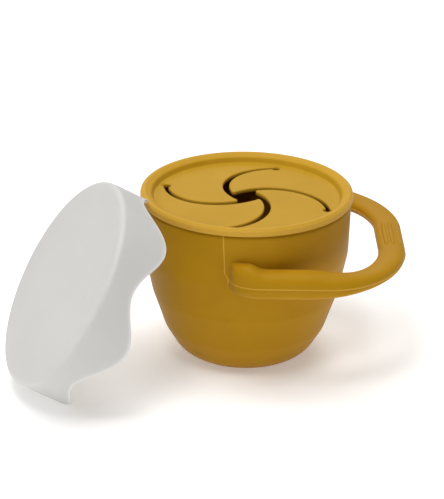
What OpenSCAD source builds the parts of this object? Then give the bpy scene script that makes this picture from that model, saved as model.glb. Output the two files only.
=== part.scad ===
// Toddler snack container: a soft silicone cup with a moulded loop handle, a press-on
// silicone lid cut into four flexing petals, and a frosted dust cover that has been
// taken off and leans on the cup. Millimetres, +Z up, origin on the table under the
// middle of the cup, handle towards +X.

/* [Cup] */
// Height of the cup's rim above the table
cup_h = 76.3; // [70:0.1:84]
// Outer radius of the cup just under the lid
cup_r = 47.3; // [44:0.1:52]
// Thickness of the silicone wall and floor
wall = 2.4; // [1.6:0.1:3.2]
// How far below the rim the upright collar ends
shoulder_drop = 26.3; // [22:0.1:30]
// How much the collar narrows down to the shoulder
shoulder_in = 0.9; // [0.2:0.1:2]
// Height of the soft upper fold in the sloping wall
fold_z = 31; // [28:0.5:34]
// How much narrower than the rim the wall is at the upper fold
fold_in = 5.1; // [3:0.1:6]
// Height of the lower fold, where the wall steepens again
crease_z = 25.5; // [22:0.5:27]
// How much narrower than the rim the wall is at the lower fold
crease_in = 7.1; // [6.2:0.1:8]
// Height where the wall starts to round into the base
bowl_z = 14.5; // [12:0.5:17]
// How much narrower than the rim the wall is where the base begins
bowl_in = 10.9; // [9:0.1:12]
// How much narrower than the rim the base's corner is before rounding
foot_in = 19.8; // [17:0.1:23]
// Rounding of the collar into the slope
shoulder_round = 22; // [10:1:24]
// Rounding of the base's edge
foot_round = 16; // [8:1:18]
// Step that the lid's lip closes over: how deep it is cut into the wall
seat_in = 0.4; // [0.2:0.05:0.7]
// Height of that stepped band below the rim
seat_h = 1.7; // [1.2:0.1:3]

/* [Handle] */
// How far below the rim the handle's middle plane lies
handle_drop = 22.7; // [19:0.1:26]
// Open gap for the fingers between the cup's wall and the grip
finger_gap = 12.8; // [10:0.1:20]
// Half thickness of the arm across the handle, at its root
arm_half_w = 6.2; // [5:0.1:6.6]
// Half height of the arm at its root
arm_half_h = 6.4; // [5.5:0.1:8]
// Half width of the grip
grip_half_w = 6; // [5:0.1:7]
// Half height of the grip
grip_half_h = 3.3; // [3:0.1:5]
// Distance from the cup's wall to the middle of each arm, beside the cup
arm_out = 3.5; // [3:0.1:5]
// How far each arm reaches back past the cup's axis
root_back = 9.3; // [6:0.1:12]
// Length of the raised boss on top of each arm's root
boss_len = 8; // [5:0.5:10]
// Length over which the boss slopes down to the arm
boss_slope = 7; // [4:0.5:9]
// Height of the boss above the arm
boss_rise = 2.6; // [0.5:0.1:3]
// Length over which each arm's blunt end rounds back to the wall
root_round = 14; // [6:0.5:16]
// Straight middle stretch of the grip
grip_straight = 24; // [12:1:26]
// Number of raised ribs on top of the grip
rib_count = 3; // [2:1:4]
// Spacing of the ribs
rib_pitch = 2.8; // [2.6:0.1:3.6]
// Length of the ribs
rib_len = 27; // [16:1:30]
// Radius of the ribs' round backs
rib_r = 1.2; // [0.8:0.1:1.5]
// How far the ribs stand up from the grip
rib_rise = 0.6; // [0.3:0.1:0.8]

/* [Lid] */
// How far the lid's bead overhangs the cup's wall
lid_over = 0.7; // [0.4:0.1:1.4]
// Height of the bead above the cup's rim
bead_h = 2.2; // [1.6:0.1:3]
// Width of the bead at the level of the lid's panel
bead_w = 6.4; // [5.6:0.1:7.4]
// How much the bead's inner side leans
bead_lean = 1.3; // [0.6:0.1:1.8]
// Depth of the panel below the bead's top
panel_drop = 4.1; // [3.4:0.1:4.6]
// Thickness of the panel and its petals
panel_t = 2.0; // [1.4:0.1:2.4]
// Length of the lip that closes over the cup's stepped band
lip_h = 1.5; // [1:0.1:2.4]
// Depth of the plug ring inside the cup, below the rim
plug_h = 9.5; // [6:0.5:12]
// Thickness of the plug ring
plug_t = 1.5; // [1:0.1:2]
// Gap between the lid and the cup's wall, on both sides of the rim
lid_fit = 0.15; // [0.1:0.05:0.3]

/* [Petals] */
// Radius on which the round slit ends lie
slit_end_r = 38.6; // [37:0.1:39]
// Diameter of each round slit end
slit_end_d = 3.6; // [3:0.1:4.2]
// Radius of the arc along the outer side of each slit
slit_arc_r = 25.4; // [25:0.1:25.8]
// Distance of that arc's centre from the lid's middle
slit_arc_out = 18.95; // [18.6:0.05:19.2]
// Angle from a petal's root to its slit's arc centre
slit_arc_turn = 15.3; // [14.5:0.1:16]
// Widest part of each slit
slit_wide = 3.15; // [2.6:0.05:3.4]
// Narrowest part of each slit
slit_narrow = 1.45; // [1.1:0.05:1.8]
// Direction of the first petal's root, from the handle
petal_turn = 21.9; // [0:0.1:89]
// Angle at which the petals rise to the middle of the lid
petal_rise = 2; // [0:0.5:4]
// Gap behind each petal's rounded root
root_gap = 0.15; // [0.1:0.05:0.3]

/* [Dust cover] */
// Gap between the cover's inside and the lid's bead
cover_fit = 0.2; // [0.1:0.05:0.6]
// Thickness of the cover's clear wall
cover_t = 0.9; // [0.7:0.1:1.4]
// Rounding between the cover's top and its skirt
cover_round = 3; // [1.5:0.5:4]
// Depth of the skirt at its wave's lowest points
skirt_long = 24; // [20:0.5:28]
// Depth of the skirt at its wave's highest points
skirt_short = 14; // [10:0.5:17]
// Number of waves round the skirt's edge
waves = 6; // [6]
// Turn of the waves about the cover's own axis
cover_spin = -6; // [-20:0.1:20]
// Direction in which the cover stands from the cup
lean_dir = 207.1; // [195:0.1:225]
// Compass direction that the cover's top faces
lean_facing = 192.3; // [185:0.1:200]
// Angle at which the cover's top faces upwards
lean_tilt = 30.3; // [25:0.1:36]
// Gap between the leaning cover and the cup
lean_gap = 0.3; // [0.2:0.05:0.5]

/* [Hidden] */
$fn = 96;

// Heights and radii that follow from the driving sizes
shoulder_z = cup_h - shoulder_drop;
shoulder_r = cup_r - shoulder_in;
seat_z = cup_h - seat_h;
seat_r = cup_r - seat_in;
handle_z = cup_h - handle_drop;
lid_top_z = cup_h + bead_h;
lid_r = cup_r + lid_over;
lip_z = cup_h - lip_h;
panel_z = lid_top_z - panel_drop;
panel_mid_z = panel_z - panel_t / 2;
bead_in_r = lid_r - bead_w;
plug_r = cup_r - wall - lid_fit;
plug_low_z = cup_h - plug_h;
plug_low_r = plug_r - shoulder_in * (seat_z - plug_low_z) / (seat_z - shoulder_z);
hinge_r = slit_end_r * cos(45);
slit_inner_r = slit_arc_r - (slit_wide + slit_narrow) / 2;
slit_shift = (slit_wide - slit_narrow) / 2;
cover_r = lid_r + cover_fit + cover_t;

// Soft silicone colours and the frosted cover's
mustard = [0.75, 0.56, 0.18];
mustard_lid = [0.80, 0.62, 0.24];
frosted = [0.86, 0.85, 0.83];

// Small helpers for points in a plane
function unit(v) = v / norm(v);
function along(a, b, t) = a + (b - a) * t;
function smooth(x) = let (t = max(0, min(1, x))) t * t * (3 - 2 * t);
function last(p) = p[len(p) - 1];
function backwards(p) = [for (i = [len(p) - 1:-1:0]) p[i]];

// The arc that rounds corner b of the path a, b, c
function corner_arc(a, b, c, r, steps = 8) =
    let (
        to_a = unit(a - b),
        to_c = unit(c - b),
        turn = 180 - acos(to_a * to_c),
        centre = b + unit(to_a + to_c) * r / cos(turn / 2),
        from = b + to_a * r * tan(turn / 2) - centre,
        to = b + to_c * r * tan(turn / 2) - centre,
        start = atan2(from[1], from[0]),
        sweep = atan2(from[0] * to[1] - from[1] * to[0], from * to)
    )
    [for (i = [0:steps]) centre + r * [cos(start + sweep * i / steps), sin(start + sweep * i / steps)]];

// An open path with each inner corner rounded by its own radius, 0 for sharp
function rounded(p, r) = concat(
    [p[0]],
    [for (i = [1:len(p) - 2]) each (r[i] > 0 ? corner_arc(p[i - 1], p[i], p[i + 1], r[i]) : [p[i]])],
    [last(p)]
);

// A closed outline with all its corners rounded alike
function rounded_ring(p, r) = [
    for (i = [0:len(p) - 1])
        each corner_arc(p[(i + len(p) - 1) % len(p)], p[i], p[(i + 1) % len(p)], r)
];

// The same path moved sideways by d, to the right of its direction
function beside(p, d) = [
    for (i = [0:len(p) - 1])
        let (way = unit(p[min(i + 1, len(p) - 1)] - p[max(i - 1, 0)]))
        p[i] + d * [way[1], -way[0]]
];

// The cup's wall from under its stepped rim down to the middle of the base
fold_round = 6;
crease_round = 12;
bowl_round = 16;
wall_path = rounded(
    [
        [cup_r, seat_z],
        [shoulder_r, shoulder_z],
        [cup_r - fold_in, fold_z],
        [cup_r - crease_in, crease_z],
        [cup_r - bowl_in, bowl_z],
        [cup_r - foot_in, 0],
        [0, 0]
    ],
    [0, shoulder_round, fold_round, crease_round, bowl_round, foot_round, 0]
);
inner_path = beside(wall_path, wall);

// The whole space inside the cup's outer skin
module cup_outside() {
    rotate_extrude() polygon(concat([[0, cup_h], [seat_r, cup_h], [seat_r, seat_z]], wall_path));
}

// One-piece silicone bowl: upright collar, sloping wall with two soft folds, round base
module cup_bowl() {
    inner_top = [cup_r - wall, cup_h];
    color(mustard) rotate_extrude() polygon(concat(
        [inner_top, [seat_r, cup_h], [seat_r, seat_z]],
        wall_path,
        backwards([for (p = inner_path) [max(p[0], 0), p[1]]])
    ));
}

// Route of the handle's middle line, from one arm's root round the grip to the other's
arm_v = shoulder_r + arm_out;
grip_u = shoulder_r + finger_gap + grip_half_w;
corner_reach = 30.5;
arm_end_u = grip_u - corner_reach;
arm_spread = 2.1;
corner_pull = 18.8;
root_steps = [0, 0.15, 0.5, 1.1, 2, 3.2, 4.8, 6.6, 8.5, 11, 13.5, 16, 22, 30];
corner_steps = 12;
half_route = concat(
    [for (s = root_steps) along([-root_back, arm_v], [arm_end_u, arm_v + arm_spread], s / (arm_end_u + root_back))],
    [
        for (i = [0:corner_steps])
            let (
                t = i / corner_steps,
                a = [arm_end_u, arm_v + arm_spread],
                b = a + [corner_pull, 0],
                d = [grip_u, grip_straight / 2],
                c = d + [0, corner_pull]
            )
            a * pow(1 - t, 3) + b * 3 * t * pow(1 - t, 2) + c * 3 * t * t * (1 - t) + d * t * t * t
    ]
);
route = concat(half_route, backwards([for (p = half_route) [p[0], -p[1]]]));

// The arm's section: round-cornered, tall at the root, flatter at the grip. Its inner
// side, which is sunk in the cup's wall at the root, stays where it is while its outer
// side and underside round off towards the blunt end.
section_sides = 16;
section_power = 2.5;
taper_start = 22;
taper_share = 0.9;
end_width = 0.25;
end_under = 0.5;
end_top = 0.9;
function corner_pow(x) = sign(x) * pow(abs(x), 2 / section_power);
function half_w(u) = along(arm_half_w, grip_half_w, smooth((u - arm_end_u / 2) / (grip_u - arm_end_u / 2)));
function half_h(u) = along(arm_half_h, grip_half_h, smooth((u - taper_start) / (grip_u * taper_share - taper_start)));
function boss_at(u) = boss_rise * (1 - smooth((u + root_back - boss_len) / boss_slope));
function end_part(u) = let (x = max(0, 1 - (u + root_back) / root_round)) sqrt(1 - x * x);
function route_way(i) = unit(route[min(i + 1, len(route) - 1)] - route[max(i - 1, 0)]);
function section_at(i) =
    let (
        p = route[i],
        inwards = [route_way(i)[1], -route_way(i)[0]],
        full = end_part(p[0]),
        above = (half_h(p[0]) + boss_at(p[0])) * along(end_top, 1, full),
        below = half_h(p[0]) * along(end_under, 1, full)
    )
    [
        for (j = [0:section_sides - 1])
            let (
                a = 360 * j / section_sides,
                across = half_w(p[0]) * (1 - (1 - corner_pow(cos(a))) * along(end_width, 1, full)),
                up = corner_pow(sin(a)) * (sin(a) > 0 ? above : below)
            )
            [p[0] + inwards[0] * across, p[1] + inwards[1] * across, handle_z + up]
    ];

// A closed tube skinned over a list of rings with equal counts
module skin(rings) {
    n = len(rings[0]);
    m = len(rings);
    points = [for (ring = rings) each ring];
    sides = [
        for (i = [0:m - 2], j = [0:n - 1])
            let (a = i * n + j, b = i * n + (j + 1) % n, c = a + n, d = b + n)
            each [[a, b, d], [a, d, c]]
    ];
    caps = [
        for (j = [1:n - 2]) each [[0, j + 1, j], [(m - 1) * n, (m - 1) * n + j, (m - 1) * n + j + 1]]
    ];
    polyhedron(points, concat(sides, caps));
}

// Loop handle, one moulding with the cup, with raised ribs under the fingertips
module handle() {
    rib_out = 0.6;
    color(mustard) difference() {
        union() {
            skin([for (i = [0:len(route) - 1]) section_at(i)]);
            for (i = [0:rib_count - 1]) {
                off = (i - (rib_count - 1) / 2) * rib_pitch + rib_out;
                crown = grip_half_h * pow(1 - pow(abs(off) / grip_half_w, section_power), 1 / section_power);
                translate([grip_u + off, rib_len / 2, handle_z + crown + rib_rise - rib_r])
                    rotate([90, 0, 0]) cylinder(r = rib_r, h = rib_len, $fn = 24);
            }
        }
        cup_outside();
    }
}

// Upright cylinder along the outer or the inner side of a petal's slit
module slit_outer_side(turn) {
    rotate([0, 0, slit_arc_turn + turn]) translate([slit_arc_out, 0, 0])
        cylinder(r = slit_arc_r, h = 2 * cup_h);
}
module slit_inner_side(turn) {
    rotate([0, 0, slit_arc_turn + turn]) translate([slit_arc_out + slit_shift, 0, 0])
        cylinder(r = slit_inner_r, h = 2 * cup_h);
}
module slit_end(turn) {
    rotate([0, 0, 45 + turn]) translate([slit_end_r, 0, 0])
        cylinder(d = slit_end_d, h = 2 * cup_h);
}

// Everything that has to be open in the panel for one petal and its slit, root along +X
module petal_window() {
    deep = 2 * panel_t + 1;
    low = panel_z - panel_t - 0.5;
    edge = hinge_r + panel_t / 2 + root_gap;
    far = 2 * lid_r;
    slit_end(0);
    // the square that the four roots bound
    translate([0, -edge, low]) cube([edge, 2 * edge, deep]);
    // the stretch of the slit that bulges past the next petal's root
    intersection() {
        slit_outer_side(0);
        translate([-far, 0, low]) cube([2 * far, far, deep]);
        rotate([0, 0, 45]) translate([0, 0, low]) cube([slit_end_r, far, deep]);
    }
}

// Lid's rim: rounded bead, lip over the cup's step, plug ring that narrows with the cup's
// bore, and the fixed outer part of the panel
module lid_rim() {
    bead_top_round = 2.0;
    bead_inner_round = 1.8;
    panel_fillet = 1.6;
    top = rounded(
        [
            [lid_r, lip_z],
            [lid_r, lid_top_z],
            [bead_in_r + bead_lean, lid_top_z],
            [bead_in_r, panel_z],
            [0, panel_z]
        ],
        [0, bead_top_round, bead_inner_round, panel_fillet, 0]
    );
    under = [
        [0, panel_z - panel_t],
        [plug_r - plug_t, panel_z - panel_t],
        [plug_low_r - plug_t, plug_low_z],
        [plug_low_r, plug_low_z],
        [plug_r, cup_h],
        [seat_r + lid_fit, cup_h],
        [seat_r + lid_fit, lip_z]
    ];
    color(mustard_lid) difference() {
        rotate_extrude() polygon(concat(top, under));
        for (k = [0:3]) rotate([0, 0, petal_turn + 90 * k]) petal_window();
    }
}

// One petal: bounded by its own slit, the next slit and a rounded root on its bend line
module petal(k) {
    color(mustard_lid) rotate([0, 0, petal_turn + 90 * k])
        translate([hinge_r, 0, panel_mid_z]) rotate([0, petal_rise, 0])
            translate([-hinge_r, 0, -panel_mid_z])
                difference() {
                    intersection() {
                        slit_inner_side(0);
                        union() {
                            translate([-hinge_r, -slit_end_r, panel_z - panel_t])
                                cube([2 * hinge_r, 2 * slit_end_r, panel_t]);
                            translate([hinge_r, slit_end_r, panel_mid_z])
                                rotate([90, 0, 0]) cylinder(d = panel_t, h = 2 * slit_end_r, $fn = 32);
                        }
                    }
                    slit_outer_side(-90);
                    slit_end(0);
                }
}

// The cover's wavy skirt edge: its depth at an angle round the cover, the lowest points
// being a little flattened
tip_flat = 0.25;
function wave_at(a) = along(skirt_short, skirt_long + tip_flat, (1 - cos(waves * a)) / 2);
function skirt_at(a) = min(skirt_long, wave_at(a));

// Points of the leaning cover's outer skin, for seating it on the table and the cup
facing = [cos(lean_tilt) * cos(lean_facing), cos(lean_tilt) * sin(lean_facing), sin(lean_tilt)];
local_x = [sin(lean_tilt) * cos(lean_facing), sin(lean_tilt) * sin(lean_facing), -cos(lean_tilt)];
local_y = [-sin(lean_facing), cos(lean_facing), 0];
function skin_point(a, depth, r) =
    r * (cos(a) * local_x + sin(a) * local_y) - depth * facing;
edge_points = [for (a = [0:2:358]) skin_point(a, skirt_at(a - cover_spin), cover_r)];

// The cover drops until its lowest edge meets the table
cover_z = -min([for (p = edge_points) p[2]]);

// It then moves in from afar until its skirt is lean_gap from the lid or the cup
function cup_r_at(z) =
    z > lid_top_z ? -1 :
    z > lip_z ? lid_r :
    lookup(z, backwards([for (p = wall_path) [p[1], p[0]]]));
away = [cos(lean_dir), sin(lean_dir)];
function needed_shift(p) =
    let (
        r = cup_r_at(p[2] + cover_z) + lean_gap,
        off = p[0] * away[1] - p[1] * away[0]
    )
    r <= 0 || abs(off) >= r ? 0 : sqrt(r * r - off * off) - (p[0] * away[0] + p[1] * away[1]);
cover_out = max([
    for (a = [0:2:358], d = [cover_round:1:skirt_long])
        if (d <= skirt_at(a - cover_spin) + 0.5)
            needed_shift(skin_point(a, min(d, skirt_at(a - cover_spin)), cover_r))
]);

// Frosted dust cover: a thin shallow cap whose skirt ends in a wavy edge
module dust_cover_part() {
    inner_round = max(cover_round - cover_t, 0.4);
    bite_half = 174 / waves;
    wave_steps = 16;
    outer = rounded([[0, 0], [cover_r, 0], [cover_r, -skirt_long]], [0, cover_round, 0]);
    inner = rounded(
        [[0, -cover_t], [cover_r - cover_t, -cover_t], [cover_r - cover_t, -skirt_long]],
        [0, inner_round, 0]
    );
    bite = concat(
        [
            for (i = [0:wave_steps])
                let (a = along(-bite_half, bite_half, i / wave_steps))
                [cover_r * sin(a), -wave_at(a)]
        ],
        [[cover_r * sin(bite_half), -2 * skirt_long], [-cover_r * sin(bite_half), -2 * skirt_long]]
    );
    difference() {
        rotate_extrude() polygon(concat(outer, backwards(inner)));
        for (k = [0:waves - 1])
            rotate([0, 0, k * 360 / waves])
                translate([cover_r / 2, 0, 0]) rotate([90, 0, 90])
                    linear_extrude(cover_r) polygon(bite);
    }
}
module dust_cover() {
    color(frosted, 0.6)
        translate([away[0] * cover_out, away[1] * cover_out, cover_z])
            rotate([0, 90 - lean_tilt, lean_facing])
                rotate([0, 0, cover_spin]) dust_cover_part();
}

cup_bowl();
handle();
lid_rim();
petal(0);  // petal_right
petal(1);  // petal_back
petal(2);  // petal_left
petal(3);  // petal_front
dust_cover();
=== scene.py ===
import math

import bmesh
import bpy
import numpy as np
from mathutils import Matrix, Vector
from mathutils.geometry import delaunay_2d_cdt


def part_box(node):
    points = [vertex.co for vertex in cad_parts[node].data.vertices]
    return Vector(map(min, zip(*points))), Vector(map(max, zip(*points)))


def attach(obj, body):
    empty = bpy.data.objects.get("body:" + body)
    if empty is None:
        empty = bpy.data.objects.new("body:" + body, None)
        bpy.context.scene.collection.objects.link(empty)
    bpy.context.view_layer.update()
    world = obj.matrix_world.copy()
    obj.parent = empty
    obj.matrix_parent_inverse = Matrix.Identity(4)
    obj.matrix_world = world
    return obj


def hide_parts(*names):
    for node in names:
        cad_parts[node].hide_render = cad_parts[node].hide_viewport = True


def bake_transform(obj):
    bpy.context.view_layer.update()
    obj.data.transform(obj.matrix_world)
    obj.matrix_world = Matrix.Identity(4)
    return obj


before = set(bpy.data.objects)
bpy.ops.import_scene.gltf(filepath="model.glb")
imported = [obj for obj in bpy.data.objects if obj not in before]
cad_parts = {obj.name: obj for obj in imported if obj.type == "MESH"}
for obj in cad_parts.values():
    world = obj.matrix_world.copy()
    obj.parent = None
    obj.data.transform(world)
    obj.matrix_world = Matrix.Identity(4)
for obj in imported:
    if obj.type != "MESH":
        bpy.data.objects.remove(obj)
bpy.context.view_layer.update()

# Studio
# A pale sheet of matt card under one large soft light from above, with weaker ones in
# front, behind and to the left. A long lens looks down on the object from the front.

# the object's sizes are written in millimetres, and MM turns them into metres
MM = 0.001
photo_tall = 499
focal_px = 4000
sensor_mm = 36
camera_place = Vector((-87.6, -1671.0, 750.2)) * MM
camera_aim = Vector((-11.4, -12.7, 54.4)) * MM
camera_roll = math.radians(0.76)
light_aim = Vector((0, 0, 0.05))
room_glow = 0.24
card_glow = 0.28
card_fibre = 1.5
floor_half = 3

lens = bpy.data.cameras.new("camera")
lens.sensor_fit = "VERTICAL"
lens.sensor_height = sensor_mm
lens.lens = focal_px * sensor_mm / photo_tall
camera = bpy.data.objects.new("camera", lens)
camera.location = camera_place
looking = (camera_aim - camera_place).to_track_quat("-Z", "Y").to_matrix()
camera.rotation_euler = (looking @ Matrix.Rotation(camera_roll, 3, "Z")).to_euler()
bpy.context.scene.collection.objects.link(camera)
bpy.context.scene.camera = camera
bpy.context.scene.view_settings.view_transform = "Standard"


def paint(code):
    """An sRGB hex colour as the linear colour that a shader takes."""
    levels = [int(code[i:i + 2], 16) / 255 for i in (1, 3, 5)]
    return [v / 12.92 if v <= 0.04045 else ((v + 0.055) / 1.055) ** 2.4 for v in levels] + [1]


def put(tree, kind, inputs=None, **settings):
    """A new node with its settings, and with each named input set or linked."""
    node = tree.nodes.new(kind)
    for name, value in settings.items():
        setattr(node, name, value)
    for name, value in (inputs or {}).items():
        if isinstance(value, bpy.types.NodeSocket):
            tree.links.new(value, node.inputs[name])
        else:
            node.inputs[name].default_value = value
    return node


def fresh_material(name):
    material = bpy.data.materials.new(name)
    material.use_nodes = True
    material.node_tree.nodes.clear()
    return material, material.node_tree


def soft_light(name, place, size, watts):
    lamp = bpy.data.lights.new(name, "AREA")
    lamp.shape = "DISK"
    lamp.size = size
    lamp.energy = watts
    light = bpy.data.objects.new(name, lamp)
    light.location = place
    light.rotation_euler = (light_aim - Vector(place)).to_track_quat("-Z", "Y").to_euler()
    bpy.context.scene.collection.objects.link(light)


soft_light("overhead_softbox", place=(0, 0, 1.5), size=1.2, watts=12)
soft_light("front_softbox", place=(-0.3, -0.6, 1.35), size=0.5, watts=5.2)
soft_light("back_softbox", place=(0, 1.3, 1.0), size=1.0, watts=5)
soft_light("left_fill", place=(-1.4, -0.3, 0.5), size=0.9, watts=4.2)

room = bpy.data.worlds.new("pale_walls")
room.use_nodes = True
room.node_tree.nodes["Background"].inputs["Color"].default_value = (1, 1, 1, 1)
room.node_tree.nodes["Background"].inputs["Strength"].default_value = room_glow
bpy.context.scene.world = room

card, card_tree = fresh_material("matt_card")
fibre = put(card_tree, "ShaderNodeTexNoise", {
    "Vector": put(card_tree, "ShaderNodeTexCoord").outputs["Object"],
    "Scale": 1 / (card_fibre * MM),
})
card_bump = put(card_tree, "ShaderNodeBump", {
    "Height": fibre.outputs["Fac"], "Strength": 0.05, "Distance": 0.05 * MM,
})
card_face = put(card_tree, "ShaderNodeBsdfPrincipled", {
    "Base Color": paint("#FAFAFA"), "Roughness": 0.9, "Normal": card_bump.outputs["Normal"],
    "Emission Color": (1, 1, 1, 1), "Emission Strength": card_glow,
})
put(card_tree, "ShaderNodeOutputMaterial", {"Surface": card_face.outputs["BSDF"]})

floor_mesh = bpy.data.meshes.new("floor")
floor_mesh.from_pydata(
    [(x * floor_half, y * floor_half, 0) for x, y in ((-1, -1), (1, -1), (1, 1), (-1, 1))],
    [], [(0, 1, 2, 3)],
)
floor_mesh.materials.append(card)
floor = bpy.data.objects.new("floor", floor_mesh)
bpy.context.scene.collection.objects.link(floor)


# Cup
# One bowl of soft platinum silicone, compression moulded with its handle: an upright
# collar, a sloping wall with two soft folds and a round base. Where the mould's halves
# meet, a fine raised line runs down the collar and bends in to each root of the handle.
cup_h = 76.3
cup_r = 47.3
wall = 2.4
seat_r = 46.9
seat_z = 74.6
rim_in_round, rim_out_round = 0.8, 0.5
rim_cut = 0.3
# radius, height and rounding of each corner of the outside, from the rim's step down
wall_corners = [
    (cup_r, seat_z, 0),
    (46.4, 50, 22),
    (42.2, 31, 12),
    (40.2, 25.5, 12),
    (36.4, 14.5, 16),
    (27.5, 0, 16),
    (0, 0, 0),
]
# the parting line: its angle from the handle in degrees, how far it drifts towards the
# handle on its way down, and how far it bends that way near its lower end
seam_turn = 105.2
seam_drift = 0.9
seam_bend = 1.8
seam_bend_z = 57
seam_bend_h = 3.6
seam_height = 0.2
seam_half_w = 0.24
seam_low, seam_high = 51.5, seat_z + 0.01
# the mesh has a column every 1.5 degrees, and finer columns and rows along the parting
# line and a little past it
column = 1.5
column_clear = 0.5
seam_column, seam_row = 0.15, 0.4
seam_margin = 1
skin_depth = 0.3


def rounded(corners, step=1.0):
    """A path through corners (x, z, radius), with its arcs cut into pieces of about
    step and its straights into longer ones."""
    straight_step = 2.5 * step
    points = [np.array(corners[0][:2], float)]
    for before, corner, after in zip(corners, corners[1:], corners[2:]):
        a, b, c = (np.array(p[:2], float) for p in (before, corner, after))
        radius = corner[2]
        if not radius:
            points.append(b)
            continue
        to_a = (a - b) / np.linalg.norm(a - b)
        to_c = (c - b) / np.linalg.norm(c - b)
        half_turn = math.acos(np.clip(to_a @ to_c, -1, 1)) / 2
        halfway = to_a + to_c
        centre = b + halfway / np.linalg.norm(halfway) * radius / math.sin(half_turn)
        enter = b + to_a * radius / math.tan(half_turn) - centre
        leave = b + to_c * radius / math.tan(half_turn) - centre
        start = math.atan2(enter[1], enter[0])
        sweep = math.atan2(enter[0] * leave[1] - enter[1] * leave[0], enter @ leave)
        count = max(4, math.ceil(abs(sweep) * radius / step))
        for i in range(count + 1):
            angle = start + sweep * i / count
            points.append(centre + radius * np.array([math.cos(angle), math.sin(angle)]))
    points.append(np.array(corners[-1][:2], float))
    path = [points[0]]
    for point in points[1:]:
        count = max(1, math.ceil(np.linalg.norm(point - path[-1]) / straight_step))
        start = path[-1]
        path.extend(start + (point - start) * (i + 1) / count for i in range(count))
    return np.array(path)


def beside(path, gap):
    """The path moved sideways by gap, to the right of its direction."""
    way = np.gradient(path, axis=0)
    way /= np.linalg.norm(way, axis=1)[:, None]
    return path + gap * np.stack([way[:, 1], -way[:, 0]], 1)


def lathe(path, turns):
    """Vertices and faces of an (x, z) path spun through the angles, in mm. A path that
    starts off the axis is closed by a band from its last point to its first."""
    on_axis = 1e-6
    rows, verts, faces = [], [], []
    for x, z in path:
        if abs(x) < on_axis:
            rows.append([len(verts)] * len(turns))
            verts.append((0, 0, z))
        else:
            rows.append(list(range(len(verts), len(verts) + len(turns))))
            verts.extend((x * math.cos(a), x * math.sin(a), z) for a in turns)
    pairs = list(zip(rows, rows[1:]))
    if abs(path[0][0]) > on_axis:
        pairs.append((rows[-1], rows[0]))
    for low, high in pairs:
        for i in range(len(turns)):
            j = (i + 1) % len(turns)
            ring = list(dict.fromkeys([low[i], low[j], high[j], high[i]]))
            if len(ring) > 2:
                faces.append(ring)
    return verts, faces


def make_piece(name, verts, faces, material, painted_highlight=None):
    """A smooth mesh piece from points in mm, with its faces turned outwards. The last
    argument is each point's share, from 0 to 1, of its material's painted highlight colour."""
    mesh = bpy.data.meshes.new(name)
    mesh.from_pydata([tuple(float(c) * MM for c in v) for v in verts], [], faces)
    if painted_highlight is not None:
        mesh.attributes.new("painted_highlight", "FLOAT", "POINT").data.foreach_set("value", painted_highlight)
    form = bmesh.new()
    form.from_mesh(mesh)
    bmesh.ops.remove_doubles(form, verts=form.verts, dist=1e-7)
    bmesh.ops.recalc_face_normals(form, faces=form.faces)
    for face in form.faces:
        face.smooth = True
    form.to_mesh(mesh)
    form.free()
    mesh.materials.append(material)
    piece = bpy.data.objects.new(name, mesh)
    bpy.context.scene.collection.objects.link(piece)
    return piece


def smooth(x):
    """A soft step from 0 to 1 as x goes from 0 to 1."""
    t = np.clip(x, 0, 1)
    return t * t * (3 - 2 * t)


def moulded_silicone(name, deep, light, painted_highlight_colour):
    """Satin silicone: the pigment drifts a little over the piece, the mould's fine
    sandblasting breaks up the shine, a faint bloom whitens what is seen edge on, and a
    painted highlight lightens the points that the mesh marks."""
    pigment_patch = 22
    slack_wave = 9
    # the blasted grain is 0.1 mm in life and is drawn 0.7 mm wide so that it can show
    blasted_grain = 0.7
    material, tree = fresh_material(name)
    where = put(tree, "ShaderNodeTexCoord").outputs["Object"]
    drift = put(tree, "ShaderNodeTexNoise", {
        "Vector": where, "Scale": 1 / (pigment_patch * MM), "Detail": 3,
    })
    pigment = put(tree, "ShaderNodeValToRGB", {"Fac": drift.outputs["Fac"]})
    pigment.color_ramp.elements[0].position = 0.3
    pigment.color_ramp.elements[0].color = paint(deep)
    pigment.color_ramp.elements[1].position = 0.7
    pigment.color_ramp.elements[1].color = paint(light)
    # painted highlight: parting lines, beads and cut edges are painted paler where they catch
    # the light
    painted_highlight = put(tree, "ShaderNodeAttribute", attribute_name="painted_highlight")
    highlighted_pigment = put(tree, "ShaderNodeMixRGB", {
        "Fac": painted_highlight.outputs["Fac"], "Color1": pigment.outputs["Color"],
        "Color2": paint(painted_highlight_colour),
    })
    grain = put(tree, "ShaderNodeTexNoise", {
        "Vector": where, "Scale": 1 / (blasted_grain * MM), "Detail": 2,
    })
    shine = put(tree, "ShaderNodeMapRange", {
        "Value": grain.outputs["Fac"], "To Min": 0.44, "To Max": 0.56,
    })
    slack = put(tree, "ShaderNodeTexNoise", {
        "Vector": where, "Scale": 1 / (slack_wave * MM), "Detail": 1,
    })
    unevenness = put(tree, "ShaderNodeBump", {
        "Height": slack.outputs["Fac"], "Strength": 0.25, "Distance": 0.25 * MM,
    })
    blasting = put(tree, "ShaderNodeBump", {
        "Height": grain.outputs["Fac"], "Strength": 0.25, "Distance": 0.02 * MM,
        "Normal": unevenness.outputs["Normal"],
    })
    face = put(tree, "ShaderNodeBsdfPrincipled", {
        "Base Color": highlighted_pigment.outputs["Color"],
        "Roughness": shine.outputs["Result"],
        "IOR": 1.41,
        "Specular IOR Level": 0.11,
        "Sheen Weight": 0.065,
        "Sheen Roughness": 0.4,
        "Sheen Tint": paint("#DCE2FF"),
        "Normal": blasting.outputs["Normal"],
    })
    put(tree, "ShaderNodeOutputMaterial", {"Surface": face.outputs["BSDF"]})
    return material


# the third colour is the painted highlight for parting lines, beads and cut edges
cup_silicone = moulded_silicone(
    "mustard_silicone_moulded", deep="#B1820C", light="#B88812", painted_highlight_colour="#DDAC45",
)

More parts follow.
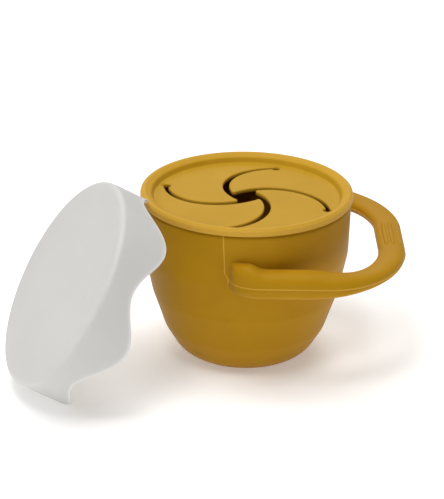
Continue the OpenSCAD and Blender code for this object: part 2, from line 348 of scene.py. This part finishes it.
# the collar's path gets extra rows where the parting line bends
wall_path = rounded(wall_corners)
collar = wall_path[wall_path[:, 1] > seam_low - 2 * seam_margin]
fine_z = np.arange(seam_low - seam_margin, seam_bend_z + seam_margin, seam_row)
collar_z = np.union1d(collar[:, 1], fine_z)[::-1]
collar_x = np.interp(collar_z, collar[::-1, 1], collar[::-1, 0])
wall_path = np.concatenate([np.stack([collar_x, collar_z], 1), wall_path[len(collar):]])
inner_path = beside(wall_path, wall)[::-1]
inner_path[0][0] = 0
rim = rounded(
    [
        (cup_r - wall, seat_z, 0),
        (cup_r - wall, cup_h, rim_in_round),
        (seat_r, cup_h, rim_out_round),
        (seat_r, seat_z, 0),
        (cup_r, seat_z, 0),
    ],
    rim_cut,
)
round_turns = np.radians(np.arange(0, 360, column))
fine = np.arange(
    seam_turn - seam_drift - seam_bend - seam_margin, seam_turn + seam_margin, seam_column,
)
fine_turns = np.radians(np.concatenate([fine, 360 - fine]))
to_fine = np.min(np.abs(round_turns[:, None] - fine_turns[None, :]), axis=1)
bowl_turns = np.sort(np.concatenate([
    round_turns[to_fine > math.radians(column_clear)], fine_turns,
]))
bowl_path = np.concatenate([inner_path, rim[1:-1], wall_path])
bowl_verts, bowl_faces = lathe(bowl_path, bowl_turns)
bowl_verts = np.array(bowl_verts, float)


def seam_share(points):
    """How far each point of the bowl is on the parting line: 1 along its crest."""
    spread = np.hypot(points[:, 0], points[:, 1])
    angle = np.degrees(np.arctan2(np.abs(points[:, 1]), points[:, 0]))
    crest = seam_turn - seam_drift * (seat_z - points[:, 2]) / (seat_z - seam_bend_z)
    crest -= seam_bend * smooth((seam_bend_z - points[:, 2]) / seam_bend_h)
    off = np.radians(angle - crest) * cup_r
    skin = np.interp(points[:, 2], wall_path[::-1, 1], wall_path[::-1, 0])
    outside = spread > skin - skin_depth
    outside &= (points[:, 2] > seam_low) & (points[:, 2] < seam_high)
    return np.exp(-(off / seam_half_w) ** 2) * outside


seam = seam_share(bowl_verts)
bowl_spread = np.maximum(np.hypot(bowl_verts[:, 0], bowl_verts[:, 1]), 1)
bowl_verts[:, :2] *= (1 + seam_height * seam / bowl_spread)[:, None]
# the parting line's share also paints it paler along its crest: a painted highlight
bowl = make_piece("cup_bowl_silicone", bowl_verts, bowl_faces, cup_silicone, seam)
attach(bowl, "cup")
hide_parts("cup_bowl")


# Handle
# A D-shaped loop of the same silicone, moulded with the cup: two tall arms that lie
# against the collar, each with a blunt end and a low boss, and a flatter grip. The
# mould's parting line runs all the way round it, on both sides.
handle_z = 53.6
root_back = 9.3
arm_root = np.array([-root_back, 49.9])
arm_end = np.array([34.7, 52.0])
corner_pull = 18.8
grip_u = 65.2
grip_half = 12
arm_half_w, grip_half_w = 6.2, 6.0
arm_half_h, grip_half_h = 6.4, 3.3
boss_len, boss_slope, boss_rise = 8, 7, 2.6
taper_start, taper_end = 22, 58.7
# the arm's blunt end: how long and how round it is, and the shares of its width and of
# its height above and below the middle that are left at its very end
root_round = 14
end_round = 1.6
end_width, end_under, end_top = 0.25, 0.5, 0.9
# the section is a superellipse of this power, nearer to an ellipse than to a box
power = 2.5
root_fillet = 0.6
line_height = 0.26
line_half_w = 0.24
# the share of painted highlight along the handle's parting line
line_highlight = 0.7
line_zone = 0.3


def handle_route():
    """Points of the middle line, close together at the roots, from one to the other."""
    at_root = [0, 0.1, 0.25, 0.5, 0.8, 1.2, 1.6, 2.2]
    arm_step, bend_count, grip_count = 0.7, 64, 12
    arm_len = np.linalg.norm(arm_end - arm_root)
    arm_way = (arm_end - arm_root) / arm_len
    further = np.arange(at_root[-1], arm_len, arm_step)
    arm = [arm_root + arm_way * d for d in [*at_root[:-1], *further]]
    a, b = arm_end, arm_end + np.array([corner_pull, 0])
    d = np.array([grip_u, grip_half])
    c = d + np.array([0, corner_pull])
    bend = [
        a * (1 - t) ** 3 + b * 3 * t * (1 - t) ** 2 + c * 3 * t * t * (1 - t) + d * t ** 3
        for t in np.linspace(0, 1, bend_count)
    ]
    grip = [np.array([grip_u, v]) for v in np.linspace(grip_half, 0, grip_count)[1:]]
    half = np.array(arm + bend + grip)
    return np.concatenate([half, half[-2::-1] * [1, -1]])


def section_turns():
    """Angles round the arm's section, closer together at the parting lines."""
    mean_half_h = 5
    heights = (0.08, 0.16, 0.26, 0.4, 0.65, 1.0)
    even_start, even_count = 0.2, 34
    near = [(h / mean_half_h) ** (power / 2) for h in heights]
    even = list(np.linspace(even_start, math.pi - even_start, even_count))
    upper = [0] + near + even + [math.pi - n for n in reversed(near)]
    return np.array(upper + [a + math.pi for a in upper])


route = handle_route()
around = section_turns()
route_way = np.gradient(route, axis=0)
route_way /= np.linalg.norm(route_way, axis=1)[:, None]
inward = np.stack([route_way[:, 1], -route_way[:, 0]], 1)

# how far each station is out from the cup's axis, its half width, and its height above
# and below the middle line
out_x = route[:, 0]
narrowing = smooth((out_x - arm_end[0] / 2) / (grip_u - arm_end[0] / 2))
half_w = arm_half_w + (grip_half_w - arm_half_w) * narrowing
flattening = smooth((out_x - taper_start) / (taper_end - taper_start))
half_h = arm_half_h + (grip_half_h - arm_half_h) * flattening
boss = boss_rise * (1 - smooth((out_x + root_back - boss_len) / boss_slope))
into_end = np.clip(1 - (out_x + root_back) / root_round, 0, 1)
full = np.sqrt(1 - into_end ** 2)
above = (half_h + boss) * (end_top + (1 - end_top) * full)
below = half_h * (end_under + (1 - end_under) * full)

# the section at each station, with the parting lines' ridges at its two sides
side = np.sign(np.cos(around)) * np.abs(np.cos(around)) ** (2 / power)
rise = np.sign(np.sin(around)) * np.abs(np.sin(around)) ** (2 / power)
width_left = (end_width + (1 - end_width) * full)[:, None]
across = half_w[:, None] * (1 - (1 - side)[None, :] * width_left)
lift = np.where(rise > 0, above[:, None] * rise, below[:, None] * rise)
on_line = np.where(np.abs(rise) < line_zone, np.exp(-(lift / line_half_w) ** 2), 0)
across = across + np.sign(side) * line_height * on_line

# the section draws in over the last bit of the arm, which rounds its blunt end
end_reach = np.clip(end_round - (out_x + root_back), 0, end_round)
drawn_in = end_round - np.sqrt(end_round ** 2 - end_reach ** 2)
core = (across.max(1) + across.min(1))[:, None] / 2
across = core + (across - core) * (1 - drawn_in / (across.max(1) - core[:, 0]))[:, None]
lift = lift * (1 - drawn_in / above)[:, None]

rings = np.zeros((len(route), len(around), 3))
rings[:, :, :2] = route[:, None, :] + inward[:, None, :] * across[:, :, None]
rings[:, :, 2] = handle_z + lift
handle_low, handle_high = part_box("handle")
rings = np.clip(rings, np.array(handle_low) / MM, np.array(handle_high) / MM)
stations, sides = rings.shape[:2]
last_ring = (stations - 1) * sides
end_middles = [rings[0].mean(0), rings[-1].mean(0)]
handle_verts = np.concatenate([rings.reshape(-1, 3), end_middles])
handle_faces = [
    (i * sides + j, i * sides + (j + 1) % sides,
     (i + 1) * sides + (j + 1) % sides, (i + 1) * sides + j)
    for i in range(stations - 1) for j in range(sides)
]
for j in range(sides):
    following = (j + 1) % sides
    handle_faces.append((j, following, stations * sides))
    handle_faces.append((last_ring + j, last_ring + following, stations * sides + 1))
# a painted highlight along the parting line, where its ridge catches the light
line_highlight_shares = np.concatenate([line_highlight * on_line.ravel(), [0, 0]])
handle = make_piece(
    "handle_loop_silicone", handle_verts, handle_faces, cup_silicone, line_highlight_shares,
)

# the root swells where it meets the wall, and stays inside the wall's thickness
wall_up = wall_path[::-1]
deepest = wall / 2
for vert in handle.data.vertices:
    point = np.array(vert.co) / MM
    spread = math.hypot(point[0], point[1])
    skin = np.interp(point[2], wall_up[:, 1], wall_up[:, 0])
    outward = np.array([point[0], point[1], 0]) / spread
    gap = spread - skin
    if gap < root_fillet and point[0] < arm_end[0]:
        normal = np.array(vert.normal)
        along = normal - outward * (normal @ outward)
        reach = root_fillet - max(gap, 0)
        point = point + along * (root_fillet - math.sqrt(root_fillet ** 2 - reach ** 2))
        point = point + outward * max(0, -deepest - gap)
        vert.co = Vector(point) * MM
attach(handle, "cup")
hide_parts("handle")


# Grip ribs
# Three low rounded ribs on top of the grip, under the fingertips, moulded with it.
# They are one tapered rod, repeated across the crown of the grip.
rib_count = 3
rib_pitch = 2.8
rib_len = 28
rib_r = 1.2
rib_rise = 0.6
rib_out = 0.6
rib_stations = 61
rib_sides = 24
# the higher this power, the blunter the rods' ends
rib_end_power = 8

ribs_tree = bpy.data.node_groups.new("grip_ribs", "GeometryNodeTree")
for socket, kind in (
    ("Ribs", "NodeSocketInt"), ("Pitch", "NodeSocketFloat"), ("Length", "NodeSocketFloat"),
    ("Radius", "NodeSocketFloat"), ("Silicone", "NodeSocketMaterial"),
):
    ribs_tree.interface.new_socket(socket, in_out="INPUT", socket_type=kind)
ribs_tree.interface.new_socket("Geometry", in_out="OUTPUT", socket_type="NodeSocketGeometry")
given = put(ribs_tree, "NodeGroupInput").outputs
half_len = put(ribs_tree, "ShaderNodeMath", {0: given["Length"], 1: 0.5}, operation="MULTIPLY")
back_len = put(ribs_tree, "ShaderNodeMath", {0: given["Length"], 1: -0.5}, operation="MULTIPLY")
rod_start = put(ribs_tree, "ShaderNodeCombineXYZ", {"Y": back_len.outputs[0]})
rod_end = put(ribs_tree, "ShaderNodeCombineXYZ", {"Y": half_len.outputs[0]})
rod = put(ribs_tree, "GeometryNodeCurvePrimitiveLine", {
    "Start": rod_start.outputs[0], "End": rod_end.outputs[0],
})
fine_rod = put(ribs_tree, "GeometryNodeResampleCurve", {
    "Curve": rod.outputs[0], "Count": rib_stations,
})
# the rod's thickness falls from its middle to nothing at both ends
from_start = put(ribs_tree, "GeometryNodeSplineParameter").outputs["Factor"]
from_middle = put(
    ribs_tree, "ShaderNodeMath", {0: from_start, 1: 2, 2: -1}, operation="MULTIPLY_ADD",
)
towards_end = put(
    ribs_tree, "ShaderNodeMath", {0: from_middle.outputs[0]}, operation="ABSOLUTE",
)
lost = put(
    ribs_tree, "ShaderNodeMath", {0: towards_end.outputs[0], 1: rib_end_power},
    operation="POWER",
)
left = put(ribs_tree, "ShaderNodeMath", {0: 1.0, 1: lost.outputs[0]}, operation="SUBTRACT")
thickness = put(ribs_tree, "ShaderNodeMath", {0: left.outputs[0]}, operation="SQRT")
outline = put(ribs_tree, "GeometryNodeCurvePrimitiveCircle", {
    "Radius": given["Radius"], "Resolution": rib_sides,
})
tapered_rod = put(ribs_tree, "GeometryNodeCurveToMesh", {
    "Curve": fine_rod.outputs[0], "Profile Curve": outline.outputs[0],
    "Scale": thickness.outputs[0], "Fill Caps": True,
})
spacing = put(ribs_tree, "ShaderNodeCombineXYZ", {"X": given["Pitch"]})
crown_row = put(ribs_tree, "GeometryNodeMeshLine", {
    "Count": given["Ribs"], "Offset": spacing.outputs[0],
})
copies = put(ribs_tree, "GeometryNodeInstanceOnPoints", {
    "Points": crown_row.outputs[0], "Instance": tapered_rod.outputs[0],
})
solid = put(ribs_tree, "GeometryNodeRealizeInstances", {"Geometry": copies.outputs[0]})
rounded_off = put(ribs_tree, "GeometryNodeSetShadeSmooth", {"Geometry": solid.outputs[0]})
dressed = put(ribs_tree, "GeometryNodeSetMaterial", {
    "Geometry": rounded_off.outputs[0], "Material": given["Silicone"],
})
put(ribs_tree, "NodeGroupOutput", {"Geometry": dressed.outputs[0]})

rib_maker = bpy.data.objects.new("rib_maker", bpy.data.meshes.new("rib_maker"))
bpy.context.scene.collection.objects.link(rib_maker)
rib_nodes = rib_maker.modifiers.new("grip_ribs", "NODES")
rib_nodes.node_group = ribs_tree
asked = {
    "Ribs": rib_count, "Pitch": rib_pitch * MM, "Length": rib_len * MM,
    "Radius": rib_r * MM, "Silicone": cup_silicone,
}
for item in ribs_tree.interface.items_tree:
    if item.in_out == "INPUT":
        rib_nodes[item.identifier] = asked[item.name]
ready = rib_maker.evaluated_get(bpy.context.evaluated_depsgraph_get())
rib_mesh = bpy.data.meshes.new_from_object(ready)
bpy.data.objects.remove(rib_maker)

# each rib is set down on the grip's crown, which falls away to its sides
first_off = rib_out - rib_pitch * (rib_count - 1) / 2
for vert in rib_mesh.vertices:
    off = first_off + round(vert.co.x / (rib_pitch * MM)) * rib_pitch
    crown = grip_half_h * (1 - abs(off / grip_half_w) ** power) ** (1 / power)
    vert.co += Vector((grip_u + first_off, 0, handle_z + crown + rib_rise - rib_r)) * MM
ribs = bpy.data.objects.new("grip_ribs", rib_mesh)
bpy.context.scene.collection.objects.link(ribs)
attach(ribs, "cup")


# Lid
# A press-on lid of the same silicone: a low domed bead with a lip over the cup's step,
# a plug ring inside the rim, and a sunk panel that swells a little to its middle and is
# cut by four curved slits that run together at a centre hole.
lid_r = 48
lid_top = 78.5
lip_z = 74.8
# the bead's dome, from its foot on the panel over its shoulder and crest to its edge
bead_in_r = 41.6
bead_foot_in, bead_foot_up, bead_foot_round = 0.3, 0.6, 0.4
bead_shoulder_in, bead_shoulder_down, bead_shoulder_round = 1.3, 1.5, 1.2
bead_crest_r, bead_crest_flat, bead_crest_round = 45.8, 1.2, 1.4
bead_edge_down, bead_edge_round = 1.1, 1.4
bead_cut = 0.35
lip_in, lip_out_round, lip_in_round = 47.05, 0.4, 0.2
plug_out, plug_in, plug_low = 44.75, 43.25, 66.8
plug_narrows = 0.29
plug_tip_round, plug_root_round = 0.6, 0.8
# the shares of the painted highlight on the bead, on its outer edge and on the cut edges
bead_highlight, lip_highlight, edge_highlight = 0.35, 0.4, 0.5
panel_z = 74.4
panel_t = 2.0
panel_fillet = 0.9
fillet_start_in = 0.8
panel_swell = 1.25
swell_r = 39
join_r = 41.2
# one slit is the gap between two arcs, wide at the hole and narrow at its round end
slit_end_r = 38.6
slit_end_round = 1.8
slit_arc_r = 25.4
slit_arc_out = 18.95
slit_arc_turn = 15.3
slit_wide, slit_narrow = 3.15, 1.45
tip_round = 1.1
edge_round = 0.55
under_round = 0.7
first_petal = 21.9
petal_angles = [first_petal + 90 * k for k in range(4)]
# a petal bends over a strip this far to each side of the line at hinge_r
hinge_r = slit_end_r / math.sqrt(2)
bend_half = 1.2
bend_end_in, bend_end_out = 0.6, 0.2
# the panel's net has points along the edges of the opening, at these depths where no
# other edge is nearer, over the bends, and on an even grid between
edge_depths = (0.06, 0.16, 0.3, edge_round, 0.9)
nearest_share = 0.98
tip_cut, slit_cut, slit_end_cut = 0.2, 0.5, 0.3
bend_lines, bend_reach, bend_step, bend_clear = 9, 27, 0.9, 1.1
grid_step, grid_row = 1.3, 1.3 * 0.87
grid_clear, grid_bend_clear, grid_ring_clear = 1.5, 0.5, 0.8
edge_ring_clear = 0.2
same_place = 1e-3

# the lid uses a lighter copy of the cup's silicone: painted light for its top and bead, which
# catch more light from above
lid_silicone_painted_lighter = moulded_silicone(
    "mustard_silicone_painted_lighter_lid", deep="#B98E18", light="#C09420", painted_highlight_colour="#DDAC45",
)


def turned(point, degrees):
    """A point turned round the lid's axis, anticlockwise from above."""
    a = math.radians(degrees)
    x, y = point
    return np.array([x * math.cos(a) - y * math.sin(a), x * math.sin(a) + y * math.cos(a)])


def meet(a, ra, b, rb, side):
    """Where two circles cross, on the left (1) or right (-1) of the line from a to b."""
    apart = np.linalg.norm(b - a)
    ahead = (ra * ra - rb * rb + apart * apart) / (2 * apart)
    aside = math.sqrt(ra * ra - ahead * ahead)
    unit = (b - a) / apart
    return a + unit * ahead + side * aside * np.array([-unit[1], unit[0]])


def arc(centre, start, end, anticlockwise, step):
    """Points of the arc from start towards end, without its last point."""
    radius = np.linalg.norm(start - centre)
    a = math.atan2(*(start - centre)[::-1])
    b = math.atan2(*(end - centre)[::-1])
    sweep = (b - a) % (2 * math.pi) if anticlockwise else -((a - b) % (2 * math.pi))
    count = max(3, math.ceil(abs(sweep) * radius / step))
    angles = a + sweep * np.arange(count) / count
    return centre + radius * np.stack([np.cos(angles), np.sin(angles)], 1)


# the edge of one slit, from its petal's tip out to the round end and back to the tip
# of the next petal; four of these make the whole opening
outer_c = turned((slit_arc_out, 0), slit_arc_turn)
inner_r = slit_arc_r - (slit_wide + slit_narrow) / 2
inner_c = turned((slit_arc_out + (slit_wide - slit_narrow) / 2, 0), slit_arc_turn)
end_c = np.array([hinge_r, hinge_r])
before_c = turned(outer_c, -90)
tip_places = [
    meet(inner_c, inner_r - tip_round, before_c, slit_arc_r + tip_round, s) for s in (1, -1)
]
tip_c = min(tip_places, key=np.linalg.norm)
tip_inner = inner_c + (tip_c - inner_c) * inner_r / (inner_r - tip_round)
tip_outer = before_c + (tip_c - before_c) * slit_arc_r / (slit_arc_r + tip_round)
ends_in = [meet(inner_c, inner_r, end_c, slit_end_round, s) for s in (1, -1)]
ends_out = [meet(outer_c, slit_arc_r, end_c, slit_end_round, s) for s in (1, -1)]
end_in = min(ends_in, key=lambda p: p[0])
end_out = min(ends_out, key=lambda p: p[0])
one_slit = np.concatenate([
    arc(tip_c, tip_outer, tip_inner, False, tip_cut),
    arc(inner_c, tip_inner, end_in, False, slit_cut),
    arc(end_c, end_in, end_out, True, slit_end_cut),
    arc(outer_c, end_out, turned(tip_outer, 90), True, slit_cut),
])
slit_loop = np.array([turned(p, angle) for angle in petal_angles for p in one_slit])
loop_next = np.roll(slit_loop, -1, axis=0)


def loop_gap(points):
    """Distance of each point from the edge of the opening, in mm."""
    batch = 2000
    side_way = loop_next - slit_loop
    nearest = np.zeros(len(points))
    for i in range(0, len(points), batch):
        off = points[i:i + batch, None, :] - slit_loop[None]
        t = np.clip((off * side_way).sum(2) / (side_way * side_way).sum(1), 0, 1)
        gaps = np.linalg.norm(off - t[:, :, None] * side_way, axis=2)
        nearest[i:i + batch] = gaps.min(1)
    return nearest


def in_opening(points):
    """Whether each point lies in the hole or a slit: it is then inside the loop."""
    a, b = slit_loop, loop_next
    x, y = points[:, 0, None], points[:, 1, None]
    crosses = (a[:, 1] > y) != (b[:, 1] > y)
    height = np.where(b[:, 1] == a[:, 1], 1, b[:, 1] - a[:, 1])
    at = a[:, 0] + (y - a[:, 1]) * (b[:, 0] - a[:, 0]) / height
    return (crosses & (x < at)).sum(1) % 2 == 1


def swell(points):
    """How far the panel stands above its rim at each point."""
    r = np.linalg.norm(points, axis=1)
    return panel_swell * np.clip(1 - (r / swell_r) ** 2, 0, 1) ** 2


def panel_top(points):
    """Height of the panel's upper skin: a low swell that runs into the bead's fillet."""
    r = np.linalg.norm(points, axis=1)
    over = np.clip(r - (join_r - fillet_start_in), 0, panel_fillet)
    return panel_z + swell(points) + panel_fillet - np.sqrt(panel_fillet ** 2 - over ** 2)


# rows of points that follow the edges of the opening
join_ring = join_r * np.stack([np.cos(round_turns), np.sin(round_turns)], 1)
net_parts = [slit_loop, join_ring]
loop_way = loop_next - np.roll(slit_loop, 1, axis=0)
from_opening = np.stack([loop_way[:, 1], -loop_way[:, 0]], 1)
from_opening /= np.linalg.norm(from_opening, axis=1)[:, None]
for depth in edge_depths:
    moved = slit_loop + from_opening * depth
    apart = (loop_gap(moved) > nearest_share * depth) & ~in_opening(moved)
    apart &= np.linalg.norm(moved, axis=1) < join_r - edge_ring_clear
    net_parts.append(moved[apart])

# straight rows over each petal's bend
bend_points = np.array([
    turned((hinge_r + off, v), angle)
    for angle in petal_angles
    for off in np.linspace(-bend_half, bend_half, bend_lines)
    for v in np.arange(-bend_reach, bend_reach, bend_step)
])
apart = (loop_gap(bend_points) > bend_clear) & ~in_opening(bend_points)
net_parts.append(bend_points[apart])

# an even grid everywhere else
grid = np.array([
    (x + (i % 2) * grid_step / 2, y)
    for i, y in enumerate(np.arange(-join_r, join_r, grid_row))
    for x in np.arange(-join_r, join_r, grid_step)
])
apart = (loop_gap(grid) > grid_clear) & ~in_opening(grid)
apart &= np.linalg.norm(grid, axis=1) < join_r - grid_ring_clear
for angle in petal_angles:
    apart &= np.abs(grid @ turned((1, 0), angle) - hinge_r) > bend_half + grid_bend_clear
net_parts.append(grid[apart])

# the triangles keep the opening's edge, the ring and the four lines where petals start
net_input = np.concatenate(net_parts)
loop_count, ring_count, so_far = len(slit_loop), len(join_ring), len(net_input)
net_edges = [(i, (i + 1) % loop_count) for i in range(loop_count)]
net_edges += [
    (loop_count + i, loop_count + (i + 1) % ring_count) for i in range(ring_count)
]
net_edges += [(so_far + 2 * k, so_far + 2 * k + 1) for k in range(4)]
bend_ends = [
    turned((hinge_r + bend_half, v), angle)
    for angle in petal_angles
    for v in (-hinge_r + bend_end_in, hinge_r - bend_end_out)
]
net_input = np.concatenate([net_input, bend_ends])
net = delaunay_2d_cdt([Vector(p) for p in net_input], net_edges, [], 0, 1e-5)
net_points = np.array([tuple(p) for p in net[0]])
net_faces = np.array([tuple(f) for f in net[2]])
middles = net_points[net_faces].mean(1)
solid_part = ~in_opening(middles) & (np.linalg.norm(middles, axis=1) < join_r)
net_faces, middles = net_faces[solid_part], middles[solid_part]

# which petal owns each triangle, or -1 for the part that stays with the rim
owner = np.full(len(net_faces), -1)
for k, angle in enumerate(petal_angles):
    seen_from = np.array([turned(m, -angle) for m in middles])
    inside = np.linalg.norm(seen_from - inner_c, axis=1) < inner_r
    inside &= np.linalg.norm(seen_from - before_c, axis=1) > slit_arc_r
    owner[inside & (seen_from[:, 0] < hinge_r + bend_half)] = k

# the skins' heights, with the edges of the opening rounded over
from_edge = np.minimum(loop_gap(net_points), edge_round)
drop = edge_round - np.sqrt(np.maximum(edge_round ** 2 - (edge_round - from_edge) ** 2, 0))
top_z = panel_top(net_points) - drop
low_z = panel_z - panel_t + swell(net_points) + drop * under_round
# the rounded cut edges get a painted highlight
top_highlight = edge_highlight * drop / edge_round


def panel_part(part):
    """The slab of the panel over the given triangles, with walls along its edge except
    where the bead goes on, and each point's share of the painted highlight."""
    used = sorted(set(part.flatten()))
    index = {old: i for i, old in enumerate(used)}
    upper = [(*net_points[i], top_z[i]) for i in used]
    lower = [(*net_points[i], low_z[i]) for i in used]
    faces = [tuple(index[i] for i in f) for f in part]
    faces += [tuple(index[i] + len(used) for i in f[::-1]) for f in part]
    sides_of = {}
    for f in part:
        for a, b in ((f[0], f[1]), (f[1], f[2]), (f[2], f[0])):
            sides_of.setdefault((min(a, b), max(a, b)), []).append((a, b))
    off_join = np.abs(np.linalg.norm(net_points, axis=1) - join_r) >= same_place
    for pairs in sides_of.values():
        if len(pairs) == 1 and off_join[list(pairs[0])].any():
            a, b = (index[i] for i in pairs[0])
            faces.append((b, a, a + len(used), b + len(used)))
    return upper + lower, faces, np.concatenate([top_highlight[used], np.zeros(len(used))])


def sharpen_cuts(piece):
    """Keeps the edges where petals start crisp, so that the skin looks unbroken there."""
    co = np.array([v.co for v in piece.data.vertices])[:, :2] / MM
    on_cut = np.full(len(co), -1)
    for k, angle in enumerate(petal_angles):
        from_cut = co @ turned((1, 0), angle) - hinge_r - bend_half
        on_cut[np.abs(from_cut) < same_place] = k
    for edge in piece.data.edges:
        a, b = edge.vertices
        if on_cut[a] >= 0 and on_cut[a] == on_cut[b]:
            edge.use_edge_sharp = True


bead_path = rounded(
    [
        (join_r, float(panel_top(join_ring[:1])[0]), 0),
        (bead_in_r + bead_foot_in, panel_z + bead_foot_up, bead_foot_round),
        (bead_in_r + bead_shoulder_in, lid_top - bead_shoulder_down, bead_shoulder_round),
        (bead_crest_r, lid_top, bead_crest_round),
        (bead_crest_r + bead_crest_flat, lid_top, bead_crest_round),
        (lid_r, lid_top - bead_edge_down, bead_edge_round),
        (lid_r, lip_z, lip_out_round),
        (lip_in, lip_z, lip_in_round),
        (lip_in, cup_h, lip_in_round),
        (plug_out, cup_h, lip_in_round),
        (plug_out - plug_narrows, plug_low, plug_tip_round),
        (plug_in - plug_narrows, plug_low, plug_tip_round),
        (plug_in, panel_z - panel_t, plug_root_round),
        (join_r, panel_z - panel_t, 0),
    ],
    bead_cut,
)
bead_verts, bead_faces = lathe(bead_path, round_turns)
# the panel closes the bead where the spun path is open, so its last band comes off
bead_faces = bead_faces[:-len(round_turns)]
bead_r = np.hypot(*np.array(bead_verts)[:, :2].T)
# a painted highlight on the bead's crest and outer edge, where it catches the light
bead_highlight_share = bead_highlight * smooth(bead_r - bead_in_r - bead_shoulder_in)
bead_highlight_share += lip_highlight * smooth(bead_r - bead_crest_r - bead_crest_flat)
fixed_verts, fixed_faces, fixed_highlight = panel_part(net_faces[owner < 0])
shift = len(bead_verts)
lid = make_piece(
    "lid_rim_silicone",
    [*bead_verts, *fixed_verts],
    [*bead_faces, *[tuple(i + shift for i in f) for f in fixed_faces]],
    lid_silicone_painted_lighter,
    np.concatenate([bead_highlight_share, fixed_highlight]),
)
sharpen_cuts(lid)
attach(lid, "lid")
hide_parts("lid_rim")


# Petals
# The four curved flaps between the slits, one skin with the panel. Each bends along
# the line between its two slits' round ends when fingers push past it.
for k, name in enumerate(("petal_right", "petal_back", "petal_left", "petal_front")):
    petal_verts, petal_faces, petal_highlight = panel_part(net_faces[owner == k])
    petal = make_piece(name + "_silicone", petal_verts, petal_faces, lid_silicone_painted_lighter, petal_highlight)
    sharpen_cuts(petal)
    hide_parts(name)
    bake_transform(petal)


# Dust cover
# A shallow cap of frosted polypropylene, injection moulded about 1 mm thick. Its skirt
# ends in six soft waves. It is off the lid: it stands on the table against the cup.
cover_r = 49.1
cover_t = 0.9
cover_round = 3
skirt_long, skirt_short = 24, 14
wave_count = 6
straight_down = 8
skirt_rows, edge_rows = 13, 5
cover_cut = 0.6
# how far from the skirt's edge its painted glow reaches
glow_reach = 1.1
# how the cap is turned in its own plane, which way it leans and how far from upright
cover_spin = math.radians(-6)
lean_facing = math.radians(192.3)
lean_tilt = math.radians(30.3)
# flow marks from moulding, tens of millimetres long, haze the plastic unevenly
flow_mark = 30
# the frosting is a 0.05 mm etch in life and is drawn 0.5 mm wide so that it can show
frost_grain = 0.5

frosted, frosted_tree = fresh_material("frosted_polypropylene_moulded")
at_cover = put(frosted_tree, "ShaderNodeTexCoord").outputs["Object"]
haze = put(frosted_tree, "ShaderNodeTexNoise", {
    "Vector": at_cover, "Scale": 1 / (flow_mark * MM), "Detail": 2,
})
milk = put(frosted_tree, "ShaderNodeValToRGB", {"Fac": haze.outputs["Fac"]})
milk.color_ramp.elements[0].color = paint("#E2E0DC")
milk.color_ramp.elements[1].color = paint("#E9E8E5")
frost = put(frosted_tree, "ShaderNodeTexNoise", {
    "Vector": at_cover, "Scale": 1 / (frost_grain * MM),
})
frost_bump = put(frosted_tree, "ShaderNodeBump", {
    "Height": frost.outputs["Fac"], "Strength": 0.2, "Distance": 0.02 * MM,
})
# painted glow: the skirt's edge is painted white, for light that runs along inside the wall and
# comes out there
painted_glow_share = put(frosted_tree, "ShaderNodeAttribute", attribute_name="painted_highlight")
painted_glow_edge = put(frosted_tree, "ShaderNodeMixRGB", {
    "Fac": painted_glow_share.outputs["Fac"], "Color1": milk.outputs["Color"],
    "Color2": paint("#FFFFFF"),
})
cover_skin = put(frosted_tree, "ShaderNodeBsdfPrincipled", {
    "Base Color": painted_glow_edge.outputs["Color"],
    "Roughness": 0.5,
    "IOR": 1.49,
    "Transmission Weight": 0.3,
    "Normal": frost_bump.outputs["Normal"],
})
put(frosted_tree, "ShaderNodeOutputMaterial", {"Surface": cover_skin.outputs["BSDF"]})


def cover_section(depth):
    """The (x, z) points of the cap's wall where its skirt is this deep: from the middle
    of its top down the outside, round the rounded edge and back up the inside."""
    half_t = cover_t / 2
    bottom = half_t - depth
    skirt = [
        -straight_down + (bottom + straight_down) * (i + 1) / skirt_rows
        for i in range(skirt_rows)
    ]
    skins = []
    for inset in (0, cover_t):
        r = cover_r - inset
        skin = [(0, -inset, 0), (r, -inset, cover_round - inset), (r, -straight_down, 0)]
        skins.append([*rounded(skin, cover_cut), *[(r, z) for z in skirt]])
    edge = [
        (cover_r - half_t + half_t * math.cos(a), bottom - half_t * math.sin(a))
        for a in np.linspace(0, math.pi, edge_rows + 2)[1:-1]
    ]
    return np.array([*skins[0], *edge, *skins[1][::-1]])


cover_rows, cover_painted_glow = [], []
for turn in round_turns:
    wave = (1 - math.cos(wave_count * turn)) / 2
    depth = skirt_short + (skirt_long - skirt_short) * wave
    section = cover_section(depth)
    cover_rows.append([(x * math.cos(turn), x * math.sin(turn), z) for x, z in section])
    # the skirt's edge gets the painted glow
    cover_painted_glow.extend(np.exp(-((section[:, 1] + depth) / glow_reach) ** 2))
columns, per_column = len(cover_rows), len(cover_rows[0])
cover_verts = np.array(cover_rows).reshape(-1, 3)
cover_faces = []
for i in range(columns):
    here, there = i * per_column, (i + 1) % columns * per_column
    for n in range(per_column - 1):
        cover_faces.append((here + n, there + n, there + n + 1, here + n + 1))
lean = (
    Matrix.Rotation(lean_facing, 3, "Z")
    @ Matrix.Rotation(math.pi / 2 - lean_tilt, 3, "Y")
    @ Matrix.Rotation(cover_spin, 3, "Z")
)
cover_verts = cover_verts @ np.array(lean).T
cover_low, cover_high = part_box("dust_cover")
cad_middle = np.array(cover_low + cover_high) / 2 / MM
cover_verts += cad_middle - (cover_verts.min(0) + cover_verts.max(0)) / 2
cover = make_piece("dust_cover_frosted", cover_verts, cover_faces, frosted, cover_painted_glow)
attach(cover, "cover")
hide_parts("dust_cover")
